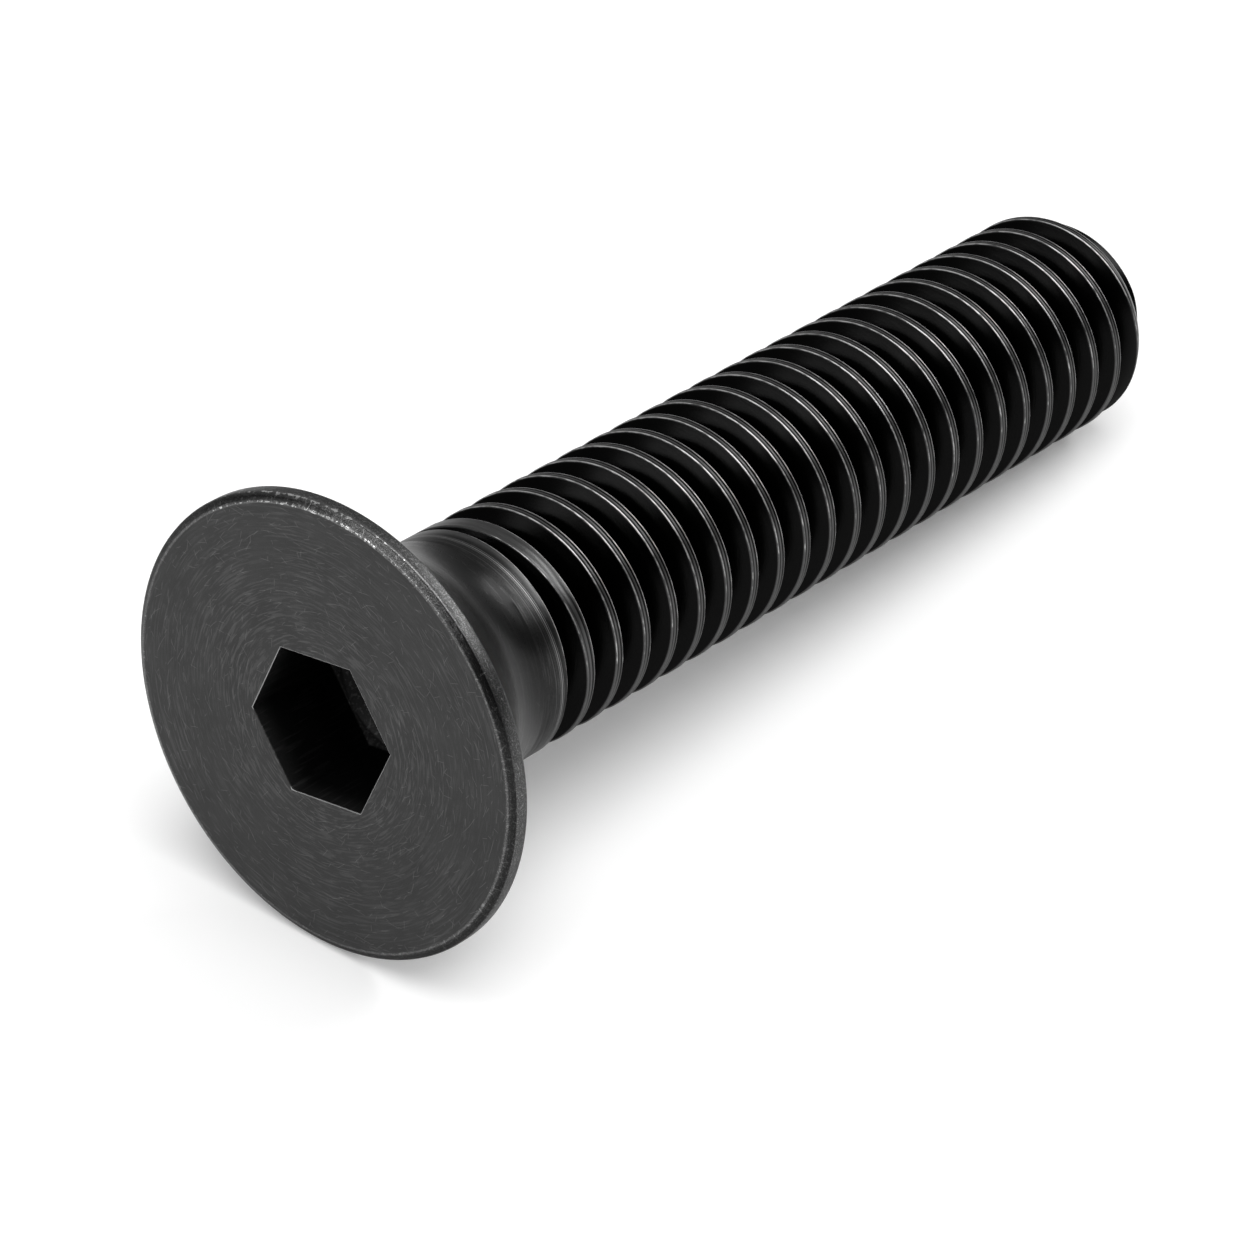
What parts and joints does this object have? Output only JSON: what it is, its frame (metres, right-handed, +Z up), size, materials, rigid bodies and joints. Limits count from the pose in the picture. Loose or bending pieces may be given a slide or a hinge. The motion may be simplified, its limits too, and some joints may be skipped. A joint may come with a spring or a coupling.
{
  "type": "countersunk socket screw",
  "caption": "Small black steel countersunk screw with a flat head, a hexagon socket and a metric thread up to a short neck.",
  "frame": {"origin": "on the surface that the screw lies on, under the middle of its length", "axes": "+Z up, +X along the screw from head to tip as seen from above; the screw's own axis drops towards the tip by about 6 degrees, because the head is wider than the shank"},
  "size_m": [0.0204, 0.0078, 0.0078],
  "materials": {
    "black_steel": "black oxide, satin, with bright worn edges"
  },
  "bodies": {
    "root": {"countersunk_socket_screw": "black_steel"}
  },
  "joints": []
}
